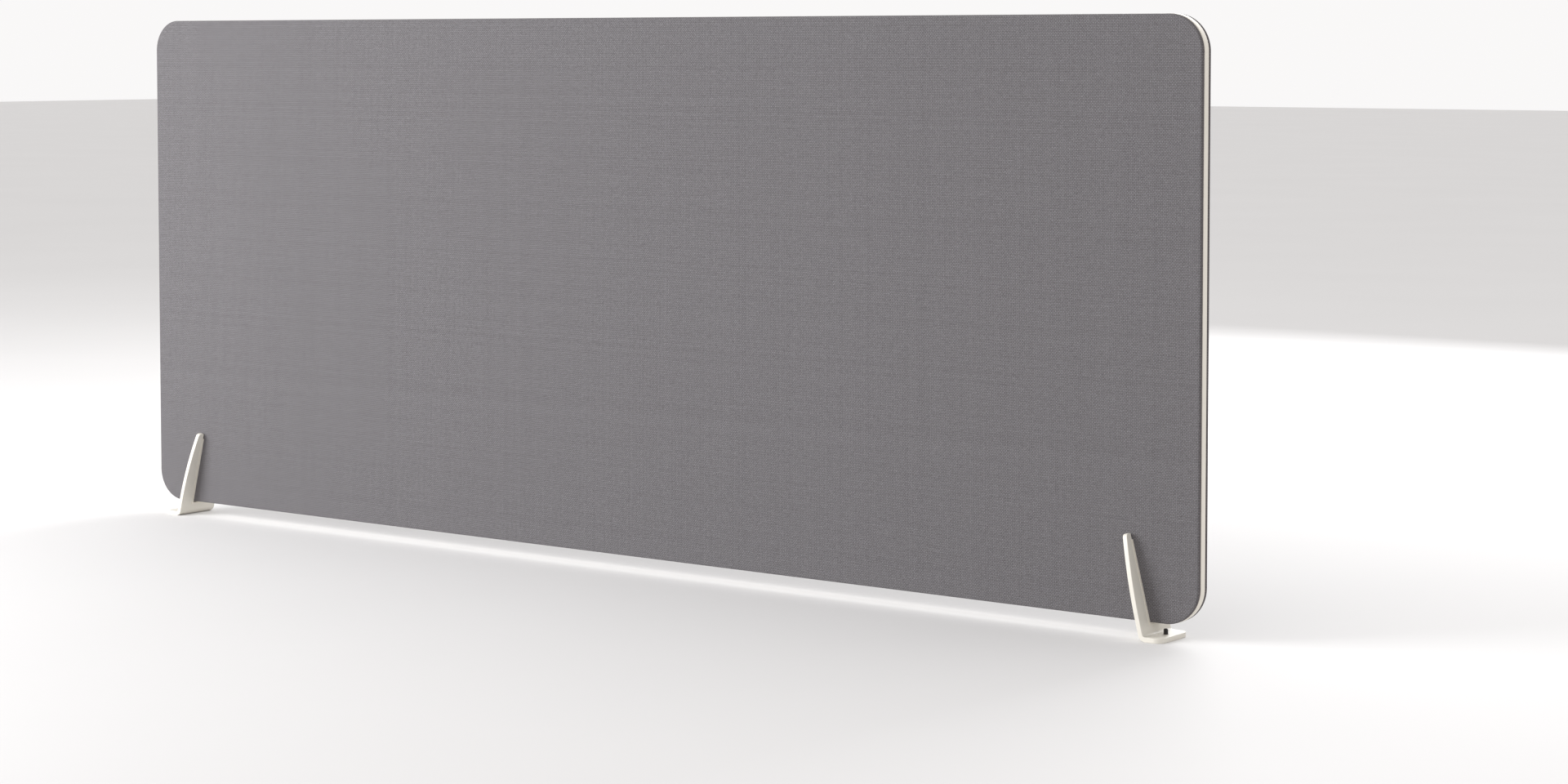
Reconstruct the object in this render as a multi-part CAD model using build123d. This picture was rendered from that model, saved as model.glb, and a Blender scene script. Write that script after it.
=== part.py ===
"""Desk privacy panel: a double-sided upholstered screen held near each end by a bent steel fork.

Millimetres, +Z up. X runs along the panel, Y through it, and the front is the -Y side. The origin
is midway between the two foot screws, on the plane that the feet stand on.

The panel is a sandwich: a core board with a plastic edge band, and on each side of it a cover of
hardboard, thin padding and woven fabric, held to the core by hook-and-loop pads. Each bracket is
one piece of bent plate: a fork that stands across the panel and leans towards its middle, and a
foot turned outwards, with a set screw in it that goes on into whatever the panel is fixed to.
"""
import os
from math import cos, radians, sin, tan

from build123d import *

# ---- panel -----------------------------------------------------------------------------------
PANEL_LENGTH = 1800.0
PANEL_HEIGHT = 725.0
PANEL_CORNER_RADIUS = 45.0
PANEL_LIFT = 20.0            # from the feet's underside to the panel's lower edge

# ---- core ------------------------------------------------------------------------------------
CORE_THICKNESS = 10.0
BAND_THICKNESS = 1.3
BAND_EDGE_RADIUS = 1.0

# ---- covers ----------------------------------------------------------------------------------
COVER_REVEAL = 0.5           # how far the edge band stands proud of the covers
FABRIC_THICKNESS = 0.8
FABRIC_EDGE_RADIUS = 2.2
PADDING_THICKNESS = 1.5
BACKING_THICKNESS = 2.5
HEM_WIDTH = 25.0             # fabric folded under, behind the backing board

# ---- hook-and-loop pads ----------------------------------------------------------------------
HOOK_THICKNESS = 0.6
LOOP_THICKNESS = 0.6
PAD_LENGTH = 100.0
PAD_WIDTH = 25.0
PAD_CORNER_RADIUS = 3.0
PAD_COLUMNS = 4
PAD_ROWS = 3
PAD_EDGE_DISTANCE = 60.0     # from the hem's inner edge to the outermost pads' centre lines

# ---- brackets --------------------------------------------------------------------------------
PLATE_THICKNESS = 6.0
PLATE_LEAN = 14.2            # degrees from upright, towards the panel's middle
ARM_RISE = 105.5             # the arms' tips above the panel's lower edge
ARM_ROOT_DEPTH = 23.0        # each arm's depth beside the panel's lower edge
ARM_TIP_DEPTH = 10.5
ARM_TIP_OUTER_RADIUS = 5.0
ARM_TIP_INNER_RADIUS = 2.0
BEND_INNER_RADIUS = 4.0
FOOT_REACH = 25.0            # outwards, from where the plate's outer face would meet the foot's top
FOOT_CORNER_RADIUS = 12.0
PLATE_EDGE_RADIUS = 0.7      # edges softened before powder coating

# ---- notch trim ------------------------------------------------------------------------------
TRIM_THICKNESS = 1.0
TRIM_LIP_DEPTH = 2.0         # how far the lips reach over the plate's faces
TRIM_LIP_THICKNESS = 0.6
TRIM_TIP_DISTANCE = 8.0      # from the arms' tips to the trim's ends, along the arm

# ---- foot screws: M6 socket set screws ---------------------------------------------------------
SCREW_END_DISTANCE = 50.0    # from the panel's end to the screw's axis
SCREW_RADIUS = 3.0
THREAD_PITCH_DEPTH = 0.325   # from the thread's outer radius in to its pitch radius
COUNTERSINK_RIM = 0.05       # how far the tapped hole's countersinks are wider than the thread
SCREW_LENGTH = 25.0
SCREW_RISE = 6.5             # above the foot
SCREW_OFFSET = 12.0          # outwards, from the line that FOOT_REACH starts at
SCREW_TOP_CHAMFER = 1.0
SCREW_END_CHAMFER = 0.8
SOCKET_ACROSS_FLATS = 3.0
SOCKET_DEPTH = 3.5

# ---- worked out from the above -----------------------------------------------------------------
PAD_GAP = HOOK_THICKNESS + LOOP_THICKNESS
COVER_THICKNESS = FABRIC_THICKNESS + PADDING_THICKNESS + BACKING_THICKNESS + PAD_GAP
PANEL_THICKNESS = CORE_THICKNESS + 2 * COVER_THICKNESS
PANEL_MIDDLE = PANEL_LIFT + PANEL_HEIGHT / 2

LEAN_SIN = sin(radians(PLATE_LEAN))
LEAN_COS = cos(radians(PLATE_LEAN))
LEAN_TAN = tan(radians(PLATE_LEAN))
SCREW_X = PANEL_LENGTH / 2 - SCREW_END_DISTANCE
FOOT_ROOT_X = SCREW_X - SCREW_OFFSET
FOOT_END_X = FOOT_ROOT_X + FOOT_REACH
THREAD_PITCH_RADIUS = SCREW_RADIUS - THREAD_PITCH_DEPTH
PLATE_OUTER_X = FOOT_ROOT_X - (PANEL_LIFT - PLATE_THICKNESS) * LEAN_TAN    # at the panel's lower edge
BEND_CENTRE_Z = PLATE_THICKNESS + BEND_INNER_RADIUS
FORK_ROOT = (BEND_CENTRE_Z - BEND_INNER_RADIUS * LEAN_SIN - PANEL_LIFT) / LEAN_COS
FORK_HALF_DEPTH = PANEL_THICKNESS / 2 + ARM_ROOT_DEPTH
NOTCH_HALF_WIDTH = PANEL_THICKNESS / 2 + TRIM_THICKNESS
ARM_LENGTH = ARM_RISE / LEAN_COS
# The trim's floor is square to the plate, so it drops a little to bring its high edge under the panel.
TRIM_FLOOR = -TRIM_LIP_THICKNESS * LEAN_TAN
NOTCH_FLOOR = TRIM_FLOOR - TRIM_THICKNESS

# The leaning plate's own plane: x is along Y of the panel, y up the plate, z out of its outer face.
PLATE_PLANE = Plane(
    origin=(PLATE_OUTER_X, 0, PANEL_LIFT), x_dir=(0, 1, 0), z_dir=(LEAN_COS, 0, LEAN_SIN)
)


def upright_slab(inset, y_low, y_high):
    """A rounded rectangle of the panel's outline, pulled in by inset, from y_low to y_high."""
    outline = RectangleRounded(
        PANEL_LENGTH - 2 * inset, PANEL_HEIGHT - 2 * inset, PANEL_CORNER_RADIUS - inset
    )
    plane = Plane(origin=(0, y_high, PANEL_MIDDLE), x_dir=(1, 0, 0), z_dir=(0, -1, 0))
    return extrude(plane * outline, amount=y_high - y_low)


def soften(solid, y_face, radius):
    """Rounds the edges of the face of solid that lies at y_face."""
    face = solid.faces().filter_by(Axis.Y).filter_by(lambda f: abs(f.center().Y - y_face) < 1e-6)[0]
    return fillet(face.edges(), radius)


# ---- panel -------------------------------------------------------------------------------------
def core_board():
    return upright_slab(BAND_THICKNESS, -CORE_THICKNESS / 2, CORE_THICKNESS / 2)


def edge_band():
    """A closed ring round the core, with its two outer edges rounded."""
    ring = upright_slab(0, -CORE_THICKNESS / 2, CORE_THICKNESS / 2)
    for y_face in (-CORE_THICKNESS / 2, CORE_THICKNESS / 2):
        ring = soften(ring, y_face, BAND_EDGE_RADIUS)
    return ring - core_board()


def cover_pieces():
    """The front cover's solids by name. Depths count from the cover's face inwards."""
    face = -PANEL_THICKNESS / 2
    padding_face = face + FABRIC_THICKNESS
    backing_face = padding_face + PADDING_THICKNESS
    hook_face = backing_face + BACKING_THICKNESS
    loop_face = hook_face + HOOK_THICKNESS
    core_face = loop_face + LOOP_THICKNESS
    filling_inset = COVER_REVEAL + FABRIC_THICKNESS

    padding = upright_slab(filling_inset, padding_face, backing_face)
    padding = soften(padding, padding_face, FABRIC_EDGE_RADIUS - FABRIC_THICKNESS)
    backing = upright_slab(filling_inset, backing_face, hook_face)
    window = upright_slab(filling_inset + HEM_WIDTH, hook_face, core_face)
    fabric = soften(upright_slab(COVER_REVEAL, face, core_face), face, FABRIC_EDGE_RADIUS)
    fabric = fabric - (padding + backing) - window
    return {
        "fabric": fabric,
        "padding": padding,
        "backing_board": backing,
        "hook_pads": pads(hook_face, loop_face),
        "loop_pads": pads(loop_face, core_face),
    }


def pads(y_low, y_high):
    """A grid of separate pads between the backing board and the core."""
    edge = COVER_REVEAL + FABRIC_THICKNESS + HEM_WIDTH + PAD_EDGE_DISTANCE
    step_x = (PANEL_LENGTH - 2 * edge - PAD_LENGTH) / (PAD_COLUMNS - 1)
    step_z = (PANEL_HEIGHT - 2 * edge) / (PAD_ROWS - 1)
    plane = Plane(origin=(0, y_high, PANEL_MIDDLE), x_dir=(1, 0, 0), z_dir=(0, -1, 0))
    pad = RectangleRounded(PAD_LENGTH, PAD_WIDTH, PAD_CORNER_RADIUS)
    grid = GridLocations(step_x, step_z, PAD_COLUMNS, PAD_ROWS)
    return Compound([extrude(plane * place * pad, amount=y_high - y_low) for place in grid])


# ---- bracket on the right, as seen from the front ------------------------------------------------
def fork():
    """The leaning plate above the bend: two arms that taper in a parabola, and the notch between."""
    tip_y = PANEL_THICKNESS / 2 + ARM_TIP_DEPTH
    outline = Polyline((0, FORK_ROOT), (FORK_HALF_DEPTH, FORK_ROOT), (FORK_HALF_DEPTH, 0))
    outline += Bezier((FORK_HALF_DEPTH, 0), (FORK_HALF_DEPTH, ARM_LENGTH / 2), (tip_y, ARM_LENGTH))
    outline += Polyline((tip_y, ARM_LENGTH), (0, ARM_LENGTH), (0, FORK_ROOT))
    notch = Pos(0, ARM_LENGTH) * Rectangle(2 * NOTCH_HALF_WIDTH, 2 * (ARM_LENGTH - NOTCH_FLOOR))
    half = make_face(outline) - notch
    half = fillet(tip_corners(half)[0], ARM_TIP_INNER_RADIUS)
    half = fillet(tip_corners(half)[-1], ARM_TIP_OUTER_RADIUS)
    whole = half + mirror(half, about=Plane.YZ)
    return extrude(PLATE_PLANE * whole, amount=-PLATE_THICKNESS)


def tip_corners(half_fork):
    """The corners of an arm's top edge, from the notch outwards."""
    return half_fork.vertices().group_by(Axis.Y)[-1].sort_by(Axis.X)


def bend_and_foot():
    """The bend and the foot, as a side profile carried across the fork's depth."""
    centre_x = PLATE_OUTER_X + (PANEL_LIFT - BEND_CENTRE_Z) * LEAN_TAN + BEND_INNER_RADIUS / LEAN_COS
    inside, outside = [
        CenterArc((centre_x, BEND_CENTRE_Z), radius, 180 + PLATE_LEAN, 90 - PLATE_LEAN)
        for radius in (BEND_INNER_RADIUS, BEND_INNER_RADIUS + PLATE_THICKNESS)
    ]
    profile = inside + outside
    profile += Polyline(inside @ 1, (FOOT_END_X, PLATE_THICKNESS), (FOOT_END_X, 0), outside @ 1)
    profile += Line(inside @ 0, outside @ 0)
    foot = extrude(Plane.XZ * make_face(profile), amount=FORK_HALF_DEPTH, both=True)
    corners = foot.edges().filter_by(Axis.Z).group_by(Axis.X)[-1]
    return fillet(corners, FOOT_CORNER_RADIUS)


def tapped_hole():
    """The foot's hole at the thread's pitch radius, with a 45 degree countersink in each face."""
    depth = COUNTERSINK_RIM + THREAD_PITCH_DEPTH
    rise = (PLATE_THICKNESS - depth) / 2
    rim_radius = THREAD_PITCH_RADIUS + depth
    hole = Cylinder(THREAD_PITCH_RADIUS, PLATE_THICKNESS)
    hole += Pos(0, 0, rise) * Cone(THREAD_PITCH_RADIUS, rim_radius, depth)
    hole += Pos(0, 0, -rise) * Cone(rim_radius, THREAD_PITCH_RADIUS, depth)
    return Pos(SCREW_X, 0, PLATE_THICKNESS / 2) * hole


def bracket():
    plate = fork() + bend_and_foot()
    return fillet(plate.edges(), PLATE_EDGE_RADIUS) - tapped_hole()


def notch_trim(plate):
    """A U section pushed over the notch's edge, cut to the plate that it grips."""
    grip = TRIM_THICKNESS + TRIM_LIP_DEPTH
    half_width = PANEL_THICKNESS / 2
    height = ARM_LENGTH - TRIM_TIP_DISTANCE - TRIM_FLOOR
    middle = TRIM_FLOOR + height / 2
    outer = Pos(0, middle - grip / 2) * Rectangle(2 * (half_width + grip), height + grip)
    inner = Pos(0, middle) * Rectangle(2 * half_width, height)
    width = PLATE_THICKNESS + 2 * TRIM_LIP_THICKNESS
    section = extrude(PLATE_PLANE.offset(TRIM_LIP_THICKNESS) * (outer - inner), amount=-width)
    return section - plate


def foot_screw(plate):
    """A set screw with a hexagon socket in its top.

    It is plain at its thread's outer radius, and fills the foot's hole at the pitch radius.
    """
    top_z = PLATE_THICKNESS + SCREW_RISE
    body = Pos(SCREW_X, 0, top_z - SCREW_LENGTH / 2) * Cylinder(SCREW_RADIUS, SCREW_LENGTH)
    rims = body.edges().filter_by(GeomType.CIRCLE).sort_by(Axis.Z)
    body = chamfer(rims[-1], SCREW_TOP_CHAMFER)
    end_rim = body.edges().filter_by(GeomType.CIRCLE).sort_by(Axis.Z)[0]
    body = chamfer(end_rim, SCREW_END_CHAMFER)
    hexagon = RegularPolygon(SOCKET_ACROSS_FLATS / 2, 6, major_radius=False)
    socket = extrude(Pos(SCREW_X, 0, top_z) * hexagon, amount=-SOCKET_DEPTH)
    return body - socket - plate


# ---- assembly ----------------------------------------------------------------------------------
nodes = {"core_board": core_board(), "edge_band": edge_band()}
for name, solid in cover_pieces().items():
    nodes["front_" + name] = solid
    nodes["rear_" + name] = mirror(solid, about=Plane.XZ)

right_plate = bracket()
right_side = {
    "bracket": right_plate,
    "notch_trim": notch_trim(right_plate),
    "foot_screw": foot_screw(right_plate),
}
for name, solid in right_side.items():
    nodes["right_" + name] = solid
    nodes["left_" + name] = mirror(solid, about=Plane.YZ)

os.makedirs("parts", exist_ok=True)
for name, solid in nodes.items():
    export_step(solid, f"parts/{name}.step")

print(f"cover {COVER_THICKNESS:.2f}, panel {PANEL_THICKNESS:.2f} thick; screws at x = {SCREW_X:.3f}")
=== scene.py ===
"""Desk privacy panel: the looks of an upholstered screen held by two leaning, bent steel forks.

Metres, +Z up, +X along the panel, and the front is the -Y side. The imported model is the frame: every
piece takes its place from the boxes of the nodes there. The woven covers, the fleece under them, the
edge band and the threaded foot screws are surfaces worked out here. The forks and their notch trims
keep the frame's shapes, welded so that they shade smoothly, and the boards and the hook-and-loop pads
keep their meshes.
"""
import math

import bmesh
import bpy
import numpy as np
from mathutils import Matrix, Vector


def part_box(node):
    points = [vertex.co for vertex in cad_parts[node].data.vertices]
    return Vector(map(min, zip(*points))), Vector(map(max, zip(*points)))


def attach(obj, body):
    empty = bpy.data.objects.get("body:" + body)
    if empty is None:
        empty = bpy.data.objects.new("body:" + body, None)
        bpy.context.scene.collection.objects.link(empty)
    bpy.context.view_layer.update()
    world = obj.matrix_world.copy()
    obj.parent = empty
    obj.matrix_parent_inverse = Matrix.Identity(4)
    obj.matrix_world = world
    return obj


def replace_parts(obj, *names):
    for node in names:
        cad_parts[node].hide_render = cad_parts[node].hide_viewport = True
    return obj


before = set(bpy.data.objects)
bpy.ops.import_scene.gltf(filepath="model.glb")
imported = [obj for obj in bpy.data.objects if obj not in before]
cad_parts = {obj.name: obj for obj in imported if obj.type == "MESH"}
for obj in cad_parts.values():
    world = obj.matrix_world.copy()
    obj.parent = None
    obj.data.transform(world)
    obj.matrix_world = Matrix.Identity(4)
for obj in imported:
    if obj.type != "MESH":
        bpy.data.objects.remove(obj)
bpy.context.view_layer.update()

MM = 0.001

# ---- sizes that the frame's boxes don't tell -----------------------------------------------------
PANEL_CORNER = 45.0 * MM
CLOTH = 0.8 * MM               # thickness of the woven cloth
CLOTH_ROLL = 2.2 * MM          # radius where the cloth turns off the panel's face
CLOTH_FOLD = 1.0 * MM          # radius where it folds in behind the backing board
HEM_CLEARANCE = 0.4 * MM       # from the folded hem to the core
HEM_REACH = 25.0 * MM
CLOTH_FULLNESS = 0.4 * MM      # how far the wrapped cloth stands out past its node's outline
CLOTH_SWELL = 0.07 * MM        # height of the face's long waves
SWELL_BORDER = 50.0 * MM       # in which they die out
PLEAT_DEPTH = 0.22 * MM        # the gathers of the hem at the corners
PLEAT_TURNS = 52               # gathers in a full turn, a quarter of them at each corner
FLEECE_SLACK = 0.04 * MM       # the fleece stays this far inside the cloth and off the board
FLEECE_LOFT = 0.03 * MM        # half of its unevenness
LOFT_BORDER = 20.0 * MM        # in which that dies out
CELL = 9.0 * MM                # mesh size on the panel's face
CORNER_STEPS = 40              # steps round each of the panel's corners
BAND = 1.3 * MM                # thickness of the edge band
BAND_ROUND = 1.0 * MM          # radius of its two outer edges

THREAD_PITCH = 1.0 * MM
THREAD_DEPTH = 0.55 * MM
SCREW_CHAMFER = 1.0 * MM
SCREW_POINT = 0.8 * MM
POINT_HOLLOW = 0.4 * MM        # how deep the screw's lower end is cupped
SOCKET_FLATS = 3.0 * MM        # across the flats
SOCKET_DEPTH = 3.5 * MM
SOCKET_DRILLED = 0.5 * MM      # the cone under the socket's floor
SOCKET_LIP = 0.15 * MM         # chamfer round the socket's mouth
PLATE = 6.0 * MM               # thickness of the fork's plate
FOOT_STEP = 0.05 * MM          # from a face of the foot to the first ring of thread beyond it
TAPPED_RADIUS = 2.65 * MM      # the screw inside the foot, just clear of the tapped hole
SCREW_SIDES = 72
RINGS_OVER_FOOT = 130
RINGS_UNDER_FOOT = 240

# Folds sharper than these stay sharp, and the rest shade smoothly.
FRAME_CREASE = math.radians(32)
BAND_CREASE = math.radians(60)
SCREW_CREASE = math.radians(50)

# ---- cloth ---------------------------------------------------------------------------------------
PAIR_ACROSS = 1.88 * MM        # one pair of upright yarns to the next, along the panel
PAIR_UP = 1.93 * MM            # one pair of level yarns to the next, up the panel
YARN_WANDER = 0.9              # how far the yarns wander off their grid, in pairs
FACE_LEVEL = 10.6 * MM         # from the panel's middle: beyond this the cloth lies on the face,
EDGE_LEVEL = 8.8 * MM          # and within this it has turned onto the edge
YARN_DRIFT = 420.0             # scale of the changes of shade along a yarn
YARN_APART = 3.7               # keeps the changes of neighbouring yarns unlike
CROSSING_LIFT = 0.45           # how far a pair rises over a crossing, in heights of its ridge

# ---- camera --------------------------------------------------------------------------------------
LENS = 71.63
CAMERA_PLACE = (2.700, -3.225, 0.7045)
CAMERA_TURN = math.radians(36.88)     # from +Y towards -X
CAMERA_DIP = math.radians(3.15)
CAMERA_SHIFT = -0.11

# ---- lights --------------------------------------------------------------------------------------
SKY_COLOUR = (1.0, 0.988, 0.984, 1.0)
SKY_STRENGTH = 0.95
LAMP_COLOUR = (0.97, 0.985, 1.0)
FLOOR_HALF = 30.0


# ---- shader maths --------------------------------------------------------------------------------
class Wire:
    """One output in a finish's node tree. Arithmetic on it adds Math nodes."""

    def __init__(self, finish, socket):
        self.finish = finish
        self.socket = socket

    def math(self, operation, *terms):
        return self.finish.node("ShaderNodeMath", {"operation": operation}, dict(enumerate(terms)))

    def __add__(self, other):
        return self.math("ADD", self, other)

    def __sub__(self, other):
        return self.math("SUBTRACT", self, other)

    def __rsub__(self, other):
        return self.math("SUBTRACT", other, self)

    def __mul__(self, other):
        return self.math("MULTIPLY", self, other)

    def __truediv__(self, other):
        return self.math("DIVIDE", self, other)

    def __mod__(self, other):
        return self.math("FLOORED_MODULO", self, other)

    def __pow__(self, other):
        return self.math("POWER", self, other)

    __radd__ = __add__
    __rmul__ = __mul__

    def floor(self):
        return self.math("FLOOR", self)

    def fract(self):
        return self.math("FRACT", self)

    def cosine(self):
        return self.math("COSINE", self)

    def higher(self, other):
        return self.math("MAXIMUM", self, other)

    def size(self):
        return self.math("ABSOLUTE", self)

    def fade(self, low, high):
        """0 below low, 1 above high, and smooth between; low may be the larger."""
        return self.finish.node(
            "ShaderNodeMapRange",
            {"interpolation_type": "SMOOTHSTEP", "clamp": True},
            {"Value": self, "From Min": low, "From Max": high},
        )


class Finish:
    """A material: its uniform values are set on the shader, and its pattern is built as wires."""

    def __init__(self, name, **uniform):
        self.material = bpy.data.materials.new(name)
        self.material.use_nodes = True
        self.tree = self.material.node_tree
        self.shader = self.tree.nodes["Principled BSDF"]
        for key, value in uniform.items():
            label = key.replace("_", " ").title().replace("Ior", "IOR")
            self.set(self.shader.inputs[label], value)

    def set(self, socket, value):
        if isinstance(value, Wire):
            self.tree.links.new(value.socket, socket)
        elif socket.type == "RGBA" and len(value) == 3:
            socket.default_value = (*value, 1.0)
        else:
            socket.default_value = value

    def node(self, kind, settings=None, inputs=None, output=0):
        """Any node: its settings first, then the values or links of its sockets."""
        made = self.tree.nodes.new(kind)
        for key, value in (settings or {}).items():
            setattr(made, key, value)
        for key, value in (inputs or {}).items():
            self.set(made.inputs[key], value)
        return Wire(self, made.outputs[output])

    def place(self):
        """Object coordinates, which are metres in the frame."""
        return self.node("ShaderNodeTexCoord", output="Object")

    def axes(self, vector):
        """The three parts of a vector."""
        made = self.tree.nodes.new("ShaderNodeSeparateXYZ")
        self.set(made.inputs[0], vector)
        return [Wire(self, made.outputs[i]) for i in range(3)]

    def point(self, x, y, z=0.0):
        return self.node("ShaderNodeCombineXYZ", None, {0: x, 1: y, 2: z})

    def stretch(self, vector, factors):
        return self.node("ShaderNodeVectorMath", {"operation": "MULTIPLY"}, {0: vector, 1: factors})

    def noise(self, vector, scale, detail=2.0, roughness=0.5):
        inputs = {"Vector": vector, "Scale": scale, "Detail": detail, "Roughness": roughness}
        return self.node("ShaderNodeTexNoise", None, inputs)

    def chance(self, vector):
        """A number from 0 to 1 that is the same all over one whole-numbered cell."""
        return self.node("ShaderNodeTexWhiteNoise", {"noise_dimensions": "3D"}, {"Vector": vector})

    def mix(self, share, low, high):
        """The colour low where share is 0, high where it is 1."""
        return self.node("ShaderNodeMix", {"data_type": "RGBA"}, {0: share, 6: low, 7: high}, 2)

    def darken(self, colour, share):
        """The colour times a grey of that share."""
        settings = {"data_type": "RGBA", "blend_type": "MULTIPLY"}
        grey = self.point(share, share, share)
        return self.node("ShaderNodeMix", settings, {0: 1.0, 6: colour, 7: grey}, 2)

    def paint(self, colour=None, roughness=None, height=None, relief=1.0):
        """Joins the pattern to the shader. Relief is how many metres a height of 1 stands for."""
        if colour is not None:
            self.set(self.shader.inputs["Base Color"], colour)
        if roughness is not None:
            self.set(self.shader.inputs["Roughness"], roughness)
        if height is not None:
            inputs = {"Height": height, "Strength": 1.0, "Distance": relief}
            self.set(self.shader.inputs["Normal"], self.node("ShaderNodeBump", None, inputs))
        return self.material


# ---- finishes ------------------------------------------------------------------------------------
def pair_ridge(pairs):
    """The height across pairs of yarns that lie side by side, in pairs counted from the grid's start.

    A pair is a cosine, flattened by a power; its two yarns are cosines too, which cut a groove of
    four tenths of the height between them.
    """
    pair = ((pairs.fract() - 0.5) * math.pi).cosine() ** 0.45
    yarn = (((pairs * 2.0).fract() - 0.5) * math.pi).cosine() ** 0.5
    return pair * (yarn * 0.4 + 0.6)


def hopsack_cloth():
    """Hopsack weave: pairs of dark upright yarns over and under pairs of paler level ones.

    A pair's surface is its ridge plus a cosine wave along it, which lifts the pair over one crossing
    and dips it under the next. The higher of the two pairs shows, and at the corners between four
    crossings both are low, which leaves a pore. The colour is darkened where the weave is low, as
    painted shade, so the pores come out dark. Slow noise bows the rows and sways the columns.
    """
    cloth = Finish("hopsack_cloth", sheen_weight=0.1, sheen_roughness=0.45, specular_ior_level=0.18)
    uv = cloth.node("ShaderNodeUVMap", {"uv_map": "cloth"})
    across, up, _ = cloth.axes(uv)
    bow = cloth.noise(cloth.stretch(uv, (30.0, 90.0, 1.0)), 1.0, 2.0) - 0.5
    sway = cloth.noise(cloth.stretch(uv, (90.0, 30.0, 1.0)), 1.0, 2.0) - 0.5
    column = across / PAIR_ACROSS + sway * YARN_WANDER
    row = up / PAIR_UP + bow * YARN_WANDER

    upright_wave = ((row - 0.5 - column.floor() % 2.0) * math.pi).cosine()
    level_wave = ((column - 0.5 - row.floor() % 2.0) * math.pi).cosine()
    upright_height = pair_ridge(column) + upright_wave * CROSSING_LIFT
    level_height = pair_ridge(row) - level_wave * CROSSING_LIFT
    upright = (upright_height - level_height).fade(-0.06, 0.06)
    height = upright_height.higher(level_height) / (1.0 + CROSSING_LIFT)

    # Each yarn has a shade of its own, drifts along its length, and is streaked by its fibres.
    upright_yarn, level_yarn = (column * 2.0).floor(), (row * 2.0).floor()
    upright_drift = cloth.noise(cloth.point(upright_yarn * YARN_APART, up * YARN_DRIFT, 1.0), 1.0, 2.0, 0.7)
    level_drift = cloth.noise(cloth.point(across * YARN_DRIFT, level_yarn * YARN_APART, 2.0), 1.0, 2.0, 0.7)
    upright_own = cloth.chance(cloth.point(upright_yarn, 0.0, 1.0))
    level_own = cloth.chance(cloth.point(0.0, level_yarn, 2.0))
    upright_shade = upright_own * 0.22 + upright_drift.fade(0.25, 0.75) * 0.78
    level_shade = level_own * 0.22 + level_drift.fade(0.25, 0.75) * 0.78
    fibre_up = cloth.noise(cloth.stretch(uv, (9000.0, 1800.0, 1.0)), 1.0, 2.0)
    fibre_across = cloth.noise(cloth.stretch(uv, (1800.0, 9000.0, 1.0)), 1.0, 2.0)
    fibre = upright * fibre_up + (1.0 - upright) * fibre_across
    heather = cloth.noise(uv, 150.0, 3.0, 0.65)

    dark_yarn = cloth.mix(upright_shade, (0.094, 0.083, 0.084), (0.182, 0.169, 0.172))
    pale_yarn = cloth.mix(level_shade, (0.117, 0.112, 0.120), (0.218, 0.214, 0.227))
    yarn = cloth.mix(upright, pale_yarn, dark_yarn)

    # Painted shade: where the cloth turns onto the panel's edge, which faces away from the light, its
    # colour is darkened towards a dark brown, most in the low places between the yarns.
    _, depth, _ = cloth.axes(cloth.place())
    edge_shade = depth.size().fade(FACE_LEVEL, EDGE_LEVEL) * (1.25 - height)
    yarn = cloth.mix(edge_shade * 0.85, yarn, (0.062, 0.043, 0.041))
    # Painted shade: the colour darkens where the weave is low, most in the pores; the fibre streaks and the
    # heather are the yarns' own tone.
    light = (0.06 + height * 1.14) * (0.84 + fibre * 0.32) * (0.93 + heather * 0.14)
    return cloth.paint(cloth.darken(yarn, light), 0.86 + fibre * 0.1, height + fibre * 0.1, 0.3 * MM)


def band_plastic():
    """Cream edge band: a fine satin grain, faint scuffs at its rounded edges, and one butt joint."""
    band = Finish("band_plastic", coat_weight=0.08, coat_roughness=0.35, specular_ior_level=0.42)
    place = band.place()
    x, y, z = band.axes(place)
    grain = band.noise(place, 5200.0, 2.0)
    drift = band.noise(place, 7.0, 2.0)
    scuffs = band.noise(place, 260.0, 4.0, 0.7).fade(0.6, 0.78)
    edge = y.size().fade(3.6 * MM, 4.9 * MM)
    joint = x.size().fade(0.16 * MM, 0.05 * MM) * z.fade(0.3, 0.2)
    cream = band.mix(drift, (0.735, 0.690, 0.610), (0.790, 0.748, 0.672))
    worn = band.mix(edge * scuffs * 0.5, cream, (0.600, 0.560, 0.490))
    colour = band.mix(joint * 0.8, worn, (0.180, 0.160, 0.130))
    return band.paint(colour, 0.38 + grain * 0.12 + edge * scuffs * 0.2, grain * 0.02 - joint, 0.05 * MM)


def powder_coat():
    """Cream powder coat on steel: orange peel, a fine grain, a slow drift, and a little dust."""
    coat = Finish("powder_coat", coat_weight=0.12, coat_roughness=0.3, specular_ior_level=0.5)
    place = coat.place()
    peel = coat.noise(place, 620.0, 2.0, 0.55)
    speck = coat.noise(place, 3800.0, 1.0)
    drift = coat.noise(place, 18.0, 2.0)
    dust = coat.noise(place, 900.0, 3.0, 0.8).fade(0.64, 0.74)
    cream = coat.mix(drift, (0.680, 0.646, 0.575), (0.735, 0.703, 0.632))
    colour = coat.mix(dust * 0.25, cream, (0.560, 0.530, 0.470))
    return coat.paint(colour, 0.4 + speck * 0.14, peel * 0.75 + speck * 0.25, 0.09 * MM)


def trim_vinyl():
    """Soft cream vinyl with a dull skin and drawn lines along the section."""
    vinyl = Finish("trim_vinyl", coat_weight=0.1, coat_roughness=0.4, specular_ior_level=0.4)
    place = vinyl.place()
    lines = vinyl.noise(vinyl.stretch(place, (2500.0, 2500.0, 60.0)), 1.0, 2.0)
    dull = vinyl.noise(place, 60.0, 3.0)
    colour = vinyl.mix(dull, (0.700, 0.655, 0.570), (0.760, 0.720, 0.640))
    return vinyl.paint(colour, 0.45 + dull * 0.12, lines, 0.03 * MM)


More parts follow.
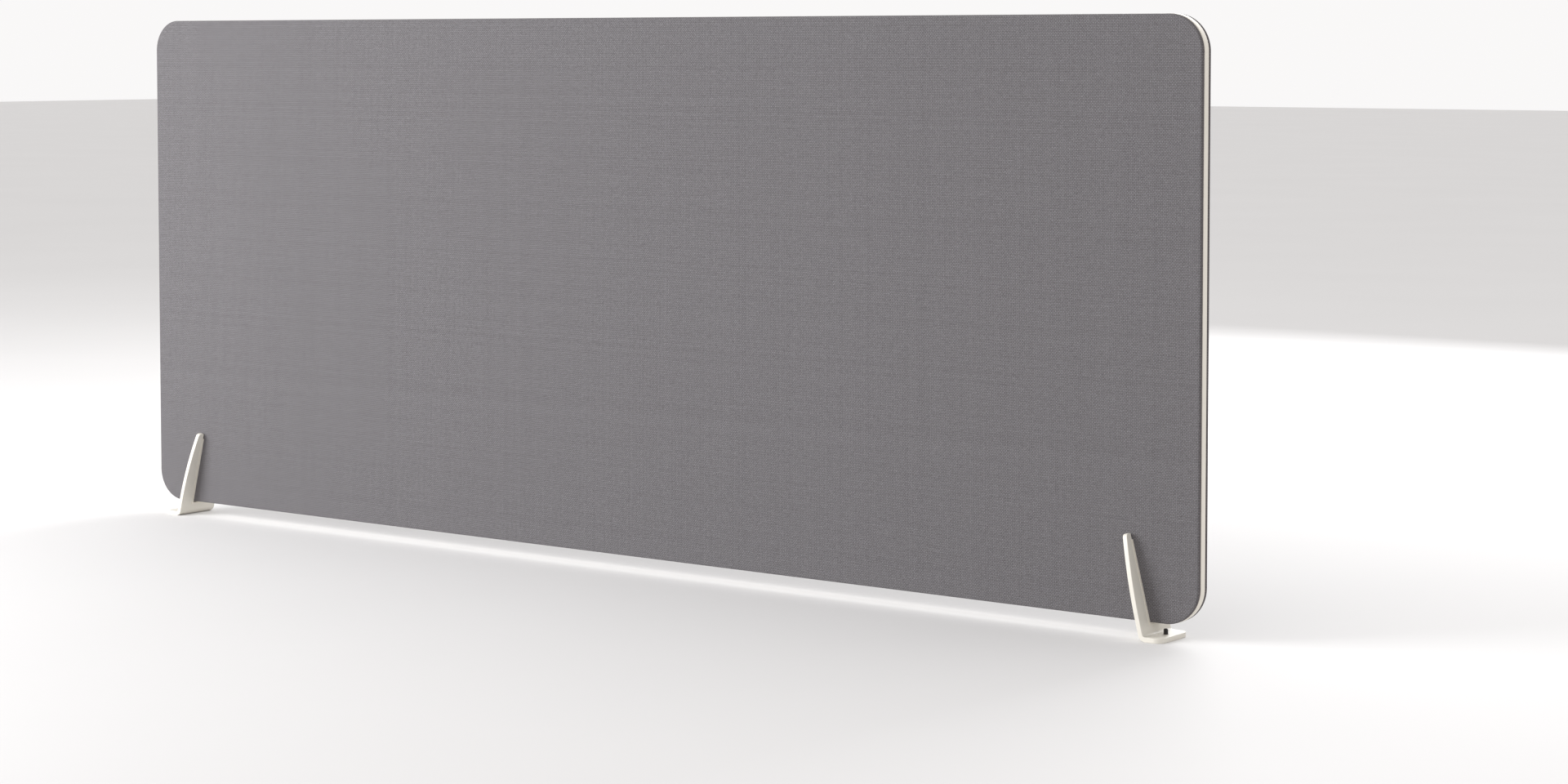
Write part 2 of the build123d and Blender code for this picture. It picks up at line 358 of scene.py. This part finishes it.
def screw_steel():
    """Black-oxide steel: near black with a mottled bloom, turning lines, and small rubbed spots."""
    steel = Finish("screw_steel", metallic=1.0, specular_ior_level=0.5)
    place = steel.place()
    bloom = steel.noise(place, 900.0, 3.0, 0.6)
    turned = steel.noise(steel.stretch(place, (900.0, 900.0, 9000.0)), 1.0, 2.0)
    rubbed = steel.noise(place, 2600.0, 2.0).fade(0.5, 0.75)
    black = steel.mix(bloom, (0.045, 0.043, 0.045), (0.115, 0.110, 0.108))
    colour = steel.mix(rubbed * 0.5, black, (0.300, 0.290, 0.280))
    return steel.paint(colour, 0.3 + bloom * 0.22, turned, 0.02 * MM)


def fleece():
    """Needled white polyester fleece: tangled fibres, and needle dents darkened as painted shade."""
    felt = Finish("fleece", sheen_weight=0.3, sheen_roughness=0.5, specular_ior_level=0.1)
    place = felt.place()
    tangle = felt.noise(place, 1500.0, 4.0, 0.7)
    clump = felt.noise(place, 120.0, 3.0)
    needle_dents = felt.node("ShaderNodeTexVoronoi", None, {"Vector": place, "Scale": 260.0}).fade(0.22, 0.1)
    colour = felt.mix(clump, (0.72, 0.72, 0.70), (0.86, 0.86, 0.84))
    # Painted shade: the colour is darkened in the needle dents.
    return felt.paint(felt.darken(colour, 1.0 - needle_dents * 0.2), 0.95, tangle - needle_dents * 0.5, 0.3 * MM)


def pressed_fibre(name, low, high, fibre_scale, gloss):
    """Board of pressed wood fibre: short fibres of two browns in thin random streaks."""
    board = Finish(name, specular_ior_level=0.3)
    place = board.place()
    fibres = board.noise(board.stretch(place, (1.0, 1.0, 2.5)), fibre_scale, 5.0, 0.72)
    chips = board.node("ShaderNodeTexVoronoi", None, {"Vector": place, "Scale": fibre_scale * 0.6})
    cloud = board.noise(place, 14.0, 3.0)
    colour = board.mix(fibres.fade(0.3, 0.7), low, high)
    shade = 0.86 + chips * 0.2 + cloud * 0.1
    return board.paint(board.darken(colour, shade), gloss + fibres * 0.15, fibres, 0.12 * MM)


def hook_and_loop():
    """Black nylon pile: rows of stiff hooks with fuzz between them."""
    pile = Finish("hook_and_loop", sheen_weight=0.4, sheen_roughness=0.4, specular_ior_level=0.3)
    place = pile.place()
    x, _, z = pile.axes(place)
    spacing = 1.3 * MM
    dots = ((x / spacing).fract() - 0.5).size() + ((z / spacing).fract() - 0.5).size()
    hooks = dots.fade(0.55, 0.2)
    fuzz = pile.noise(place, 2400.0, 3.0, 0.7)
    colour = pile.mix(hooks * 0.6 + fuzz * 0.4, (0.012, 0.012, 0.014), (0.060, 0.060, 0.066))
    return pile.paint(colour, 0.6 + fuzz * 0.25, hooks + fuzz * 0.5, 0.4 * MM)


def studio_floor():
    """A dull pale floor with a faint slow drift in its grey."""
    floor = Finish("studio_floor", roughness=0.75, specular_ior_level=0.2)
    drift = floor.noise(floor.place(), 1.5, 3.0)
    return floor.paint(floor.mix(drift, (0.69, 0.68, 0.676), (0.72, 0.71, 0.706)))


# ---- meshes --------------------------------------------------------------------------------------
def quads(rows, columns, loop):
    """The faces of a grid of points, numbered row by row. A loop joins the last column to the first."""
    r, c = np.meshgrid(np.arange(rows - 1), np.arange(columns if loop else columns - 1), indexing="ij")
    d = (c + 1) % columns
    corners = [r * columns + c, r * columns + d, (r + 1) * columns + d, (r + 1) * columns + c]
    return np.stack(corners, axis=-1).reshape(-1, 4)


def weld_points(mesh, apart):
    """Merges a mesh's points that are no farther apart than this, and makes its faces smooth."""
    tidy = bmesh.new()
    tidy.from_mesh(mesh)
    bmesh.ops.remove_doubles(tidy, verts=tidy.verts, dist=apart)
    tidy.to_mesh(mesh)
    tidy.free()
    mesh.polygons.foreach_set("use_smooth", np.ones(len(mesh.polygons), bool))


def piece(name, grids, finish, uv=None, weld=2e-6):
    """One mesh object from several (points, faces) grids, with doubles merged, that rides on the part."""
    points, faces, start = [], [], 0
    for grid_points, grid_faces in grids:
        points.append(grid_points.reshape(-1, 3))
        faces.append(grid_faces + start)
        start += len(points[-1])
    mesh = bpy.data.meshes.new(name)
    all_faces = np.concatenate(faces)
    mesh.from_pydata(np.concatenate(points).tolist(), [], all_faces.tolist())
    if uv is not None:
        layer = mesh.uv_layers.new(name="cloth")
        layer.uv.foreach_set("vector", uv[all_faces.ravel()].astype(np.float32).ravel())
    weld_points(mesh, weld)
    return dress(bpy.data.objects.new(name, mesh), finish)


def set_finish(mesh, finish):
    """Makes the finish the mesh's only material."""
    mesh.materials.clear()
    mesh.materials.append(finish)


def dress(made, finish):
    """Puts an object in the scene, on the part, with its finish."""
    bpy.context.scene.collection.objects.link(made)
    set_finish(made.data, finish)
    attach(made, "root")
    return made


# ---- covers --------------------------------------------------------------------------------------
def node_box(node):
    """A node's lowest corner and its highest one."""
    low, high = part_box(node)
    return np.array(low), np.array(high)


def facing(low, high):
    """A cover layer's outer face in Y, and the direction inwards from it: 1 in front, -1 behind."""
    return (low[1], 1.0) if low[1] + high[1] < 0 else (high[1], -1.0)


def face_grid(half_x, half_z):
    """A flat grid over a face: each point's x and z, and the quads, which look towards -Y."""
    xs = np.linspace(-half_x, half_x, round(2 * half_x / CELL) + 1)
    zs = np.linspace(-half_z, half_z, round(2 * half_z / CELL) + 1)
    z_grid, x_grid = np.meshgrid(zs, xs, indexing="ij")
    return x_grid, z_grid, quads(len(zs), len(xs), False)


def rim_walk(half_x, half_z):
    """Once round a rectangle: a point on its border, and the direction outwards from it.

    Along a side the point walks and the direction stays; at a corner the point waits while the
    direction turns a quarter.
    """
    points, outward = [], []
    corners = [(half_x, half_z), (-half_x, half_z), (-half_x, -half_z), (half_x, -half_z)]
    for k, corner in enumerate(corners):
        turn = (k + np.arange(CORNER_STEPS + 1) / CORNER_STEPS) * math.pi / 2
        points.append(np.tile(corner, (CORNER_STEPS + 1, 1)))
        outward.append(np.stack([np.cos(turn), np.sin(turn)], axis=1))
        following = np.array(corners[(k + 1) % 4])
        side = following - np.array(corner)
        steps = round(np.abs(side).sum() / CELL)
        walk = np.arange(1, steps)[:, None] / steps
        points.append(np.array(corner) + side * walk)
        outward.append(np.tile(outward[-1][-1], (steps - 1, 1)))
    return np.concatenate(points), np.concatenate(outward)


def carried(border, outward, reach, y):
    """A section carried round a border: each of its points goes out by its reach, at its own y."""
    rim = np.empty((len(reach), len(border), 3))
    rim[..., 0] = border[:, 0] + outward[:, 0] * reach
    rim[..., 1] = y
    rim[..., 2] = border[:, 1] + outward[:, 1] * reach
    return rim


def cloth_section(depth):
    """The cloth's section from the flat face outwards, as (reach, depth, length along the cloth).

    It runs out over the face, rolls a quarter turn off it, goes down the panel's edge, folds a
    quarter turn in and runs back behind the board as the hem.
    """
    quarter = np.linspace(0, math.pi / 2, 9)
    face = np.stack([np.linspace(0, PANEL_CORNER - CLOTH_ROLL, 8), np.zeros(8)], axis=1)
    roll = np.stack([np.sin(quarter), 1 - np.cos(quarter)], axis=1) * CLOTH_ROLL
    roll[:, 0] += PANEL_CORNER - CLOTH_ROLL
    fold = np.stack([np.cos(quarter) - 1, np.sin(quarter) - 1], axis=1) * CLOTH_FOLD
    fold += [PANEL_CORNER, depth]
    hem = np.stack([np.linspace(fold[-1, 0], PANEL_CORNER - HEM_REACH, 6), np.full(6, depth)], axis=1)
    middle = np.linspace(roll[-1], fold[0], 4)
    section = np.concatenate([face, roll[1:], middle[1:-1], fold, hem[1:]])
    steps = np.linalg.norm(np.diff(section, axis=0), axis=1)
    return section, np.concatenate([[0], np.cumsum(steps)])


def ease(x):
    """A smooth step from 0 to 1."""
    x = np.clip(x, 0, 1)
    return x * x * (3 - 2 * x)


def within(x, z, half_x, half_z, border):
    """1 on a face and 0 at its rim, with a smooth step as wide as the border."""
    return ease((half_x - np.abs(x)) / border) * ease((half_z - np.abs(z)) / border)


def cloth_swell(x, z, half_x, half_z):
    """How far the cloth stands off flat: a few long, shallow waves that die out at the border."""
    waves = np.sin(x * 9.1 + z * 3.7 + 0.6) + 0.7 * np.sin(x * 21.3 - z * 17.9 + 2.1)
    waves = waves + 0.5 * np.sin(x * 4.3 + z * 31.0 + 4.4)
    return CLOTH_SWELL * waves * within(x, z, half_x, half_z, SWELL_BORDER)


def cover(name, node, finish):
    """A woven cover stretched over its boards: the flat face as a grid, and the section carried round it.

    Each point of the rim is the border's point plus the direction outwards times the section's reach.
    At the corners the hem is gathered in pleats, a cosine round the corner that grows down the edge.
    """
    low, high = node_box(node)
    half_x = (high[0] - low[0]) / 2 + CLOTH_FULLNESS - PANEL_CORNER
    half_z = (high[2] - low[2]) / 2 + CLOTH_FULLNESS - PANEL_CORNER
    face_y, inward = facing(low, high)
    depth = high[1] - low[1] - HEM_CLEARANCE

    x_grid, z_grid, face_quads = face_grid(half_x, half_z)
    swell = cloth_swell(x_grid, z_grid, half_x, half_z)
    face = np.stack([x_grid, face_y - inward * swell, z_grid], axis=-1)
    face_uv = np.stack([x_grid, z_grid], axis=-1)

    border, outward = rim_walk(half_x, half_z)
    section, length = cloth_section(depth)
    down = ease((section[:, 1] - CLOTH_ROLL / 2) / depth)[:, None]
    turning = (np.abs(outward).min(axis=1) > 1e-6)[None, :]
    angle = np.arctan2(outward[:, 1], outward[:, 0])[None, :]
    gather = (np.cos(angle * PLEAT_TURNS) - 1) / 2 * np.abs(np.sin(2 * angle)) ** 0.5
    reach = section[:, :1] + PLEAT_DEPTH * gather * down * turning
    rim = carried(border, outward, reach, face_y + inward * section[:, 1:])
    rim_uv = border[None] + outward[None] * length[:, None, None]

    rim_quads = quads(len(section), len(border), True)
    if inward > 0:
        rim_quads = rim_quads[:, ::-1]
    else:
        face_quads = face_quads[:, ::-1]
    for points in (face, rim):
        points[..., 0::2] += (low[0::2] + high[0::2]) / 2
    uv = np.concatenate([face_uv.reshape(-1, 2), rim_uv.reshape(-1, 2)])
    made = piece(name, [(face, face_quads), (rim, rim_quads)], finish, uv)
    wall = made.modifiers.new("cloth thickness", "SOLIDIFY")
    wall.thickness = CLOTH
    wall.offset = -1.0
    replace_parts(made, node)
    return made


def fleece_pad(name, node, finish):
    """The thin fleece between cloth and board: two rounded sheets joined at the rim, a little uneven."""
    low, high = node_box(node)
    corner = PANEL_CORNER - CLOTH
    half_x = (high[0] - low[0]) / 2 - corner
    half_z = (high[2] - low[2]) / 2 - corner
    face_y, inward = facing(low, high)
    thick = high[1] - low[1] - FLEECE_SLACK
    roll = CLOTH_ROLL - CLOTH
    border, outward = rim_walk(half_x, half_z)
    quarter = np.linspace(0, math.pi / 2, 6)
    section = np.stack([np.sin(quarter), 1 - np.cos(quarter)], axis=1) * roll
    section[:, 0] += corner - roll - FLEECE_SLACK
    section[:, 1] = FLEECE_SLACK + section[:, 1] * (thick - FLEECE_SLACK) / roll
    section = np.concatenate([[[0.0, FLEECE_SLACK]], section, [[0.0, thick]]])
    rim = carried(border, outward, section[:, :1], face_y + inward * section[:, 1:])

    x_grid, z_grid, sheet_quads = face_grid(half_x, half_z)
    loft = FLEECE_LOFT * (1 + np.sin(x_grid * 61) * np.sin(z_grid * 53))
    loft *= within(x_grid, z_grid, half_x, half_z, LOFT_BORDER)
    outer = np.stack([x_grid, face_y + inward * (FLEECE_SLACK + loft), z_grid], axis=-1)
    inner = np.stack([x_grid, np.full_like(x_grid, face_y + inward * thick), z_grid], axis=-1)
    rim_quads = quads(len(section), len(border), True)
    grids = [(outer, sheet_quads), (inner, sheet_quads[:, ::-1]), (rim, rim_quads[:, ::-1])]
    if inward < 0:
        grids = [(points, faces[:, ::-1]) for points, faces in grids]
    for points, _ in grids:
        points[..., 0::2] += (low[0::2] + high[0::2]) / 2
    made = piece(name, grids, finish)
    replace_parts(made, node)
    return made


def edge_band(name, node, finish):
    """The band's section, a strip with two rounded outer edges, carried once round the core's rim."""
    low, high = node_box(node)
    half_size = (high - low) / 2
    half_width = half_size[1]
    border, outward = rim_walk(half_size[0] - PANEL_CORNER, half_size[2] - PANEL_CORNER)
    quarter = np.linspace(0, math.pi / 2, 8)
    rounded = np.stack([np.sin(quarter) - 1, np.cos(quarter) - 1], axis=1) * BAND_ROUND
    rounded += [PANEL_CORNER, half_width]
    lip = [[PANEL_CORNER - BAND, half_width]]
    rear_half = np.concatenate([lip, rounded, [[PANEL_CORNER, half_width / 2]]])
    front_half = rear_half[::-1] * [1, -1]
    section = np.concatenate([rear_half, [[PANEL_CORNER, 0.0]], front_half, lip])
    rim = carried(border, outward, section[:, :1], section[:, 1:]) + (low + high) / 2
    made = piece(name, [(rim, quads(len(section), len(border), True))], finish)
    made.data.set_sharp_from_angle(angle=BAND_CREASE)
    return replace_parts(made, node)


# ---- foot screws ---------------------------------------------------------------------------------
def foot_screw(name, node, finish):
    """A socket set screw, as rings of points round its axis from the socket's floor to the point.

    Outside the foot the radius is the outer radius less the thread's depth times a rounded triangle
    wave of height over pitch less turns, and the chamfers at both ends cut it down. The socket's
    radius is its apothem over the cosine of the angle from the nearest flat's middle.
    """
    low, high = node_box(node)
    centre = (low + high) / 2
    radius = (high[0] - low[0]) / 2
    angle = np.arange(SCREW_SIDES) / SCREW_SIDES * 2 * math.pi
    from_flat = (angle + math.pi / 6) % (math.pi / 3) - math.pi / 6
    hexagon = SOCKET_FLATS / 2 / np.cos(from_flat)
    floor = high[2] - SOCKET_DEPTH

    inner = [(0 * hexagon, floor - SOCKET_DRILLED), (hexagon * 0.96, floor)]
    inner += [(hexagon, z) for z in np.linspace(floor, high[2] - SOCKET_LIP, 5)]
    inner += [(hexagon + SOCKET_LIP, high[2])]
    heights = np.concatenate([
        np.linspace(high[2], PLATE + FOOT_STEP, RINGS_OVER_FOOT), [PLATE, 0.0],
        np.linspace(-FOOT_STEP, low[2], RINGS_UNDER_FOOT),
    ])
    rings, levels = [ring for ring, _ in inner], [z for _, z in inner]
    for z in heights:
        wave = np.abs(((z / THREAD_PITCH - angle / (2 * math.pi)) % 1.0) * 2 - 1)
        shank = radius - THREAD_DEPTH * ease(wave * 1.3 - 0.15)
        crown = radius - max(SCREW_CHAMFER - (high[2] - z), 0)
        point = radius - max(SCREW_POINT - (z - low[2]), 0)
        in_foot = TAPPED_RADIUS if 0.0 <= z <= PLATE else radius
        rings.append(np.minimum(shank, min(crown, point, in_foot)))
        levels.append(z)
    rings.append(np.zeros(SCREW_SIDES))
    levels.append(low[2] + POINT_HOLLOW)
    reach = np.array(rings)
    level = np.array(levels)[:, None] + 0 * reach
    x, y = centre[0] + reach * np.cos(angle), centre[1] + reach * np.sin(angle)
    points = np.stack([x, y, level], axis=-1)
    faces = quads(len(reach), len(angle), True)[:, ::-1]
    made = piece(name, [(points, faces)], finish, weld=1e-7)
    made.data.set_sharp_from_angle(angle=SCREW_CREASE)
    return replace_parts(made, node)


# ---- pieces that keep the frame's shape ----------------------------------------------------------
def welded(name, node, finish):
    """A copy of a node's mesh with its loose triangles joined and its shading smoothed."""
    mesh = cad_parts[node].data.copy()
    mesh.name = name
    weld_points(mesh, 1e-6)
    for layer in ("custom_normal", "sharp_edge", "sharp_face"):
        if layer in mesh.attributes:
            mesh.attributes.remove(mesh.attributes[layer])
    mesh.set_sharp_from_angle(angle=FRAME_CREASE)
    made = dress(bpy.data.objects.new(name, mesh), finish)
    even = made.modifiers.new("even shading", "WEIGHTED_NORMAL")
    even.keep_sharp = True
    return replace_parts(made, node)


# ---- assembly ------------------------------------------------------------------------------------
def build_panel():
    """The sandwich: on each side a cover, its fleece, its board and its pads, and the edged core."""
    cloth, felt = hopsack_cloth(), fleece()
    board = pressed_fibre("core_fibreboard", (0.30, 0.20, 0.115), (0.52, 0.39, 0.25), 420.0, 0.6)
    hardboard = pressed_fibre("backing_hardboard", (0.14, 0.078, 0.040), (0.27, 0.165, 0.090), 900.0, 0.42)
    pile = hook_and_loop()
    for side in ("front", "rear"):
        cover(f"{side}_woven_cover", f"{side}_fabric", cloth)
        fleece_pad(f"{side}_fleece", f"{side}_padding", felt)
        set_finish(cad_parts[f"{side}_backing_board"].data, hardboard)
        for kind in ("hook_pads", "loop_pads"):
            set_finish(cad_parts[f"{side}_{kind}"].data, pile)
    set_finish(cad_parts["core_board"].data, board)
    edge_band("cream_edge_band", "edge_band", band_plastic())


def build_brackets():
    """On each side a fork, the lining of its notch, and the screw through its foot."""
    coat, vinyl, steel = powder_coat(), trim_vinyl(), screw_steel()
    for side in ("left", "right"):
        welded(f"{side}_fork_bracket", f"{side}_bracket", coat)
        welded(f"{side}_notch_lining", f"{side}_notch_trim", vinyl)
        foot_screw(f"{side}_set_screw", f"{side}_foot_screw", steel)


# ---- studio --------------------------------------------------------------------------------------
def lay_floor():
    """A wide pale floor at the height of the feet's undersides, which the screws go down into."""
    mesh = bpy.data.meshes.new("floor")
    corners = [(-FLOOR_HALF, -FLOOR_HALF, 0), (FLOOR_HALF, -FLOOR_HALF, 0)]
    corners += [(FLOOR_HALF, FLOOR_HALF, 0), (-FLOOR_HALF, FLOOR_HALF, 0)]
    mesh.from_pydata(corners, [], [(0, 1, 2, 3)])
    floor = bpy.data.objects.new("floor", mesh)
    bpy.context.scene.collection.objects.link(floor)
    mesh.materials.append(studio_floor())


def softbox(name, place, aim, width, height, watts):
    """A rectangular lamp that faces the point it is aimed at."""
    lamp = bpy.data.lights.new(name, "AREA")
    lamp.shape = "RECTANGLE"
    lamp.size, lamp.size_y = width, height
    lamp.energy = watts
    lamp.color = LAMP_COLOUR
    holder = bpy.data.objects.new(name, lamp)
    holder.location = place
    holder.rotation_euler = (Vector(aim) - Vector(place)).to_track_quat("-Z", "Y").to_euler()
    bpy.context.scene.collection.objects.link(holder)


def light_studio():
    """Even pale surroundings, a large soft key to the left of the front, and a weaker light behind."""
    world = bpy.data.worlds.new("studio")
    bpy.context.scene.world = world
    world.use_nodes = True
    surroundings = world.node_tree.nodes["Background"]
    surroundings.inputs["Color"].default_value = SKY_COLOUR
    surroundings.inputs["Strength"].default_value = SKY_STRENGTH
    softbox("key", place=(-2.6, -2.8, 1.5), aim=(-0.4, 0, 0.4), width=2.4, height=2.0, watts=176.0)
    softbox("rear_light", place=(0, 3.2, 1.6), aim=(0, 0, 0.4), width=2.4, height=1.6, watts=80.0)


def place_camera():
    """Just below the level of the panel's upper edge, out to the right, and turned left and down."""
    camera = bpy.data.cameras.new("camera")
    camera.sensor_width = 36.0
    camera.lens = LENS
    camera.shift_y = CAMERA_SHIFT
    camera.clip_end = 100.0
    holder = bpy.data.objects.new("camera", camera)
    holder.location = CAMERA_PLACE
    heading = Vector((-math.sin(CAMERA_TURN), math.cos(CAMERA_TURN), -math.tan(CAMERA_DIP)))
    holder.rotation_euler = heading.to_track_quat("-Z", "Y").to_euler()
    bpy.context.scene.collection.objects.link(holder)
    bpy.context.scene.camera = holder


place_camera()
light_studio()
lay_floor()
build_panel()
build_brackets()
bpy.context.scene.view_settings.view_transform = "Standard"
